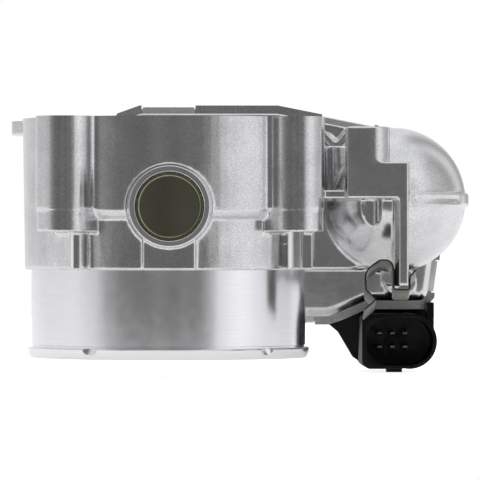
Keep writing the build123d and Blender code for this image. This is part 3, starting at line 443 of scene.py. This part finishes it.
def cast_housing():
    """The die-cast housing with rounded cast edges, crisp machined faces and a crisp cover flange."""
    piece = copied("throttle_housing", "cast_housing")
    leave_allowance(piece)
    modify(piece, "REMESH", mode="VOXEL", voxel_size=VOXEL)
    modify(piece, "SMOOTH", factor=0.5, iterations=CAST_SMOOTH_STEPS)
    faces = len(piece.data.polygons)
    modify(piece, "TRIANGULATE")
    modify(piece, "DECIMATE", ratio=min(1.0, CAST_FACES / (2 * faces)))
    piece.data.materials.clear()
    piece.data.materials.append(FINISHES["cast_aluminium"])
    combine(piece, box_piece("flange_tool", (-FAR, SKIN_END_Y, -FAR), (FAR, FAR, FAR)), "DIFFERENCE")
    for tool in machining_tools():
        combine(piece, tool, "DIFFERENCE")
    for part in (spigot(), bearing_boss_ring(), cover_flange()):
        combine(piece, part, "UNION")
    shade(piece, 32)
    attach(piece, "housing")
    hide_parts("throttle_housing")
    return piece


cast_housing()


# ---- Visible small pieces: the CAD shape with its edges broken
def finished(name, piece_name, slot, body, edge, finish=None):
    """A CAD node's shape with rounded edges and its slot's finish or a closer one."""
    piece = copied(name, piece_name)
    made = bmesh.new()
    made.from_mesh(piece.data)
    merge_flats(made)
    made.to_mesh(piece.data)
    made.free()
    modify(piece, "BEVEL", width=edge, segments=2, limit_method="ANGLE", angle_limit=math.radians(30))
    piece.data.materials.append(finish or FINISHES[slot])
    shade(piece, 40)
    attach(piece, body)
    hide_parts(name)
    return piece


def paint_front_shade(piece, finish):
    """Paints shade on a bent strip: its faces that turn to the front get a near-black finish of their own."""
    piece.data.materials.append(finish)
    for face in piece.data.polygons:
        # Faces that turn to the front get the painted shade.
        if face.normal.y < -0.8:
            face.material_index = 1


def spring_clips():
    """The cover clips, with the outer side of each bend well rounded."""
    bend, break_share, long_edge = 0.8 * MM, 0.15, 4 * MM
    piece = copied("cover_clips", "spring_clips")
    low, high = cad_box
    middle = Vector((BOLT_CIRCLE_R / 2, 0, (low.z + high.z) / 2))
    made = bmesh.new()
    made.from_mesh(piece.data)
    merge_flats(made)
    weight = made.edges.layers.float.new("bevel_weight_edge")
    for edge in made.edges:
        normals = [face.normal for face in edge.link_faces]
        if len(normals) < 2 or normals[0].dot(normals[1]) > 0.7:
            continue
        outward = (edge.verts[0].co + edge.verts[1].co) / 2 - middle
        outward.y = 0
        across = any(abs(n.y) > 0.9 for n in normals)
        outside = any(n.dot(outward.normalized()) > 0.5 for n in normals)
        edge[weight] = 1.0 if across and outside and edge.calc_length() > long_edge else break_share
    made.to_mesh(piece.data)
    made.free()
    modify(piece, "BEVEL", width=bend, segments=4, limit_method="WEIGHT")
    piece.data.materials.append(FINISHES["spring_steel"])
    shade(piece, 40)
    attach(piece, "housing")
    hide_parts("cover_clips")


def bearing_plug():
    """Pressed cup that closes the shaft bore: a dished floor, a rounded corner and a thin wall."""
    low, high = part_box("end_plug")
    outer = (high.x - low.x) / 2
    wall, corner, dish, rim = 0.6 * MM, 1.2 * MM, 0.5 * MM, 0.25 * MM
    floor_y = high.y - 1.0 * MM
    inner = outer - wall
    profile = [(0, high.y), (0, floor_y + dish)]
    steps = 8
    for k in range(1, steps + 1):
        radius = (inner - corner) * k / steps
        profile.append((radius, floor_y + dish * (1 - (k / steps) ** 2)))
    for k in range(1, steps + 1):
        turn = math.pi / 2 * k / steps
        profile.append((inner - corner * (1 - math.sin(turn)), floor_y - corner * (1 - math.cos(turn))))
    profile += [(inner, low.y + rim), (inner + rim, low.y), (outer - rim, low.y), (outer, low.y + rim)]
    profile.append((outer, high.y))
    piece = lathe("bearing_plug", profile, (0, 0, SHAFT_Z), "Y", FINISHES["plug_steel"])
    shade(piece, 40)
    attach(piece, "housing")
    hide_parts("end_plug")


finished("gear_cover", "moulded_cover", "black_plastic", "housing", 0.3 * MM)
strip = finished("harness_clip", "harness_strip", "spring_steel", "housing", 0.05 * MM, PHOSPHATED)
# Painted shade on the strip's front-facing edge.
paint_front_shade(strip, PAINTED_FRONT_SHADE)
spring_clips()
bearing_plug()


# ---- Carried-over CAD nodes
def paint_frame():
    """Gives every CAD node the finish of its slot."""
    for name, piece in frame["nodes"].items():
        slot = piece.material_slots[0].material.name.split(".")[0] if piece.material_slots else ""
        finish = FINISHES.get(slot)
        if finish is None:
            raise ValueError(f"{name} has no known slot: {slot}")
        for place in piece.material_slots:
            place.material = finish


paint_frame()


# ---- Stage: floor, surroundings and camera
def floor():
    """Pale floor, short in front so that the dark side of the studio stays dark, and clear from below."""
    level = cad_box[0].z - 0.1 * MM
    half_width, front, back = 0.9, -0.13, 1.2
    line = [(front, level), (back, level)]
    verts = [(x, y, z) for y, z in line for x in (-half_width, half_width)]
    faces = [(2 * k, 2 * k + 1, 2 * k + 3, 2 * k + 2) for k in range(len(line) - 1)]
    sheet = material("paper", (0.92, 0.92, 0.92), 0.0, 0.9, 4 * MM, 0.01 * MM, 0.01)
    tree = sheet.node_tree
    shader = tree.nodes["Principled BSDF"]
    shader.inputs["Emission Color"].default_value = (1, 1, 1, 1)
    seen = node(tree, "LightPath").outputs["Is Camera Ray"]
    glow = node(tree, "Math", {0: seen, 1: 0.5, 2: 0.35}, operation="MULTIPLY_ADD").outputs["Value"]
    tree.links.new(glow, shader.inputs["Emission Strength"])
    below = node(tree, "NewGeometry").outputs["Backfacing"]
    clear = node(tree, "BsdfTransparent").outputs["BSDF"]
    both = node(tree, "MixShader", {"Fac": below, 1: shader.outputs["BSDF"], 2: clear}).outputs[0]
    tree.links.new(both, tree.nodes["Material Output"].inputs["Surface"])
    piece = mesh_piece("floor", verts, faces, sheet)


# Brightness of the surroundings by direction: degrees from straight in front, positive to the right.
AROUND = [
    (-180, 0.85), (-120, 0.66), (-88, 0.68), (-66, 0.60), (-50, 0.26), (-36, 0.17), (-20, 0.15),
    (-8, 0.19), (4, 0.15), (14, 0.19), (25, 0.16), (35, 0.36), (43, 0.78), (62, 0.95), (94, 0.60),
    (118, 0.45), (136, 0.82), (156, 0.42), (172, 0.85),
]
OVERHEAD = (0.76, 0.77, 0.79, 1)
VIEW_TURN = math.radians(1.12)  # of the camera about the bore
VIEW_FROM = Vector((23.5, -1600, -39.7)) * MM


def surroundings():
    """Soft white studio that is dark on the side of the camera."""
    world = bpy.data.worlds.new("studio")
    bpy.context.scene.world = world
    world.use_nodes = True
    tree = world.node_tree
    tree.nodes.clear()
    way = node(tree, "TexCoord").outputs["Generated"]
    parts = node(tree, "SeparateXYZ", {"Vector": way}).outputs
    toward = node(tree, "Math", {0: parts["Y"], 1: -1.0}, operation="MULTIPLY").outputs["Value"]
    turn = node(tree, "Math", {0: parts["X"], 1: toward}, operation="ARCTAN2").outputs["Value"]
    place = spread(tree, turn, 0.0, 1.0, -math.pi, math.pi)
    ramp = node(tree, "ValToRGB", {"Fac": place})
    ramp.color_ramp.interpolation = "EASE"
    stops = ramp.color_ramp.elements
    while len(stops) > 1:
        stops.remove(stops[0])
    for k, (degrees, light) in enumerate(AROUND):
        at = (degrees + 180) / 360
        stop = stops.new(at) if k else stops[0]
        stop.position = at
        stop.color = (light * 0.98, light * 0.98, light * (0.955 + 0.06 * light), 1)
    height = node(tree, "Math", {0: parts["Z"]}, operation="ABSOLUTE").outputs["Value"]
    cap = spread(tree, height, 0.0, 1.0, 0.7, 0.95)
    around = node(tree, "Mix", {"Factor": cap, "A": ramp.outputs["Color"], "B": OVERHEAD}, data_type="RGBA")
    light = node(tree, "Background", {"Color": around.outputs["Result"], "Strength": 1.0}).outputs[0]
    white = node(tree, "Background", {"Color": (1, 1, 1, 1), "Strength": 1.0}).outputs[0]
    seen = node(tree, "LightPath").outputs["Is Camera Ray"]
    both = node(tree, "MixShader", {"Fac": seen, 1: light, 2: white}).outputs[0]
    out = node(tree, "OutputWorld")
    tree.links.new(both, out.inputs["Surface"])


def softbox(name, place, aim, size, power):
    """Large soft lamp."""
    lamp = bpy.data.lights.new(name, "AREA")
    lamp.shape = "RECTANGLE"
    lamp.size, lamp.size_y = size
    lamp.energy = power
    piece = link(bpy.data.objects.new(name, lamp))
    piece.location = place
    piece.rotation_euler = (Vector(aim) - Vector(place)).to_track_quat("-Z", "Y").to_euler()


def camera():
    """Level view from the front at the object's mid height, turned a little about the bore."""
    lens = bpy.data.cameras.new("camera")
    lens.lens = 365
    lens.sensor_width = 36
    lens.clip_start, lens.clip_end = 0.05, 20
    piece = link(bpy.data.objects.new("camera", lens))
    turn = Matrix.Rotation(-VIEW_TURN, 3, "Z")
    piece.location = turn @ VIEW_FROM
    piece.rotation_euler = (math.pi / 2, 0, -VIEW_TURN)
    bpy.context.scene.camera = piece


floor()
surroundings()
softbox("top_light", (0.1, -0.1, 1.0), (0.02, 0, -0.04), (1.6, 1.6), 0.8)
camera()
bpy.context.scene.view_settings.view_transform = "Standard"
